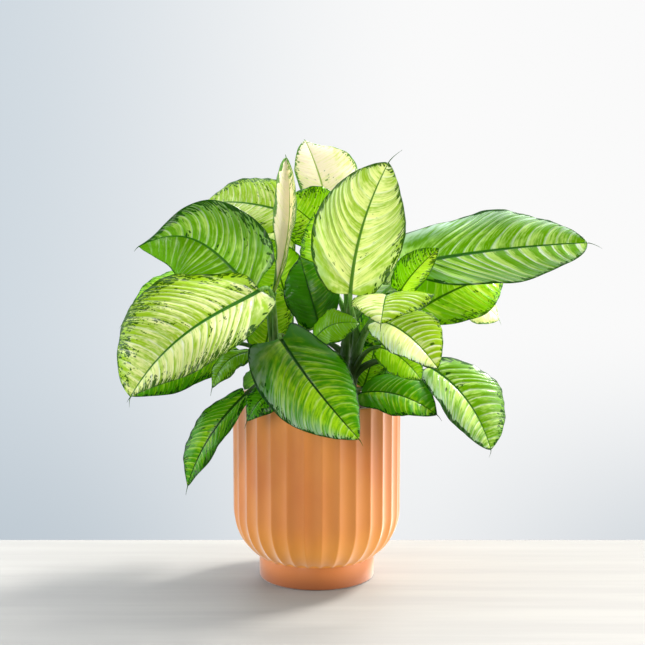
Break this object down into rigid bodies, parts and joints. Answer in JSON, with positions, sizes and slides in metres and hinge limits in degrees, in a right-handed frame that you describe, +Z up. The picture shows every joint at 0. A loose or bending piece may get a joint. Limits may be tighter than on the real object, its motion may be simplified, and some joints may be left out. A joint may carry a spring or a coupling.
{
  "type": "potted dieffenbachia",
  "caption": "Dieffenbachia house plant with cream and green variegated leaves on upright canes, in a fluted terracotta planter with a round foot.",
  "frame": {"origin": "centre of the underside of the planter's foot", "axes": "+Z up, -Y towards the viewer, +X to the viewer's right"},
  "size_m": [0.5429, 0.3731, 0.5195],
  "materials": {
    "terracotta": "matt fired clay, fluted, peach orange",
    "soil": "dark crumbly potting soil",
    "stem": "smooth fleshy stem, pale green",
    "leaf_light": "satin, yellow green with a speckled dark green margin",
    "leaf_cream": "satin, cream with a thin speckled green margin",
    "leaf_bright": "satin, bright green, lit through",
    "leaf_mid": "glossy, mid green with pale side veins",
    "leaf_dark": "glossy, dark green with pale side veins"
  },
  "bodies": {
    "root": {"pot": "terracotta", "soil": "soil", "stem_left": "stem", "stem_front": "stem", "stem_right": "stem", "stem_back_left": "stem", "stem_back_right": "stem", "leaf_left_large": "leaf_light", "leaf_left_upper": "leaf_mid", "leaf_left_under": "leaf_dark", "leaf_left_behind": "leaf_bright", "leaf_left_hanging": "leaf_dark", "leaf_left_small": "leaf_mid", "leaf_upper_left": "leaf_light", "leaf_rolled": "leaf_cream", "leaf_top_back": "leaf_cream", "leaf_upper_middle": "leaf_bright", "leaf_centre_sliver": "leaf_bright", "leaf_centre": "leaf_light", "leaf_near": "leaf_light", "leaf_right_middle": "leaf_light", "leaf_right_low": "leaf_mid", "leaf_right_long": "leaf_mid", "leaf_right_folded": "leaf_bright", "leaf_right_under": "leaf_bright", "leaf_right_pale": "leaf_cream", "leaf_middle_dark": "leaf_dark", "leaf_middle_small": "leaf_mid", "leaf_front": "leaf_dark", "leaf_rim_left": "leaf_dark", "leaf_rim_right": "leaf_dark", "leaf_shade_right": "leaf_dark", "leaf_inner_dark": "leaf_dark", "leaf_inner_bright": "leaf_bright", "leaf_middle_bright": "leaf_bright", "leaf_middle_low": "leaf_bright", "leaf_far_centre": "leaf_light", "leaf_far_left": "leaf_mid", "leaf_far_right": "leaf_mid", "leaf_far_high": "leaf_light", "leaf_far_high_left": "leaf_light", "leaf_far_rim_left": "leaf_dark", "leaf_far_rim_right": "leaf_dark", "leaf_side_left": "leaf_mid", "leaf_side_right": "leaf_light", "leaf_inner_back": "leaf_mid"}
  },
  "joints": []
}
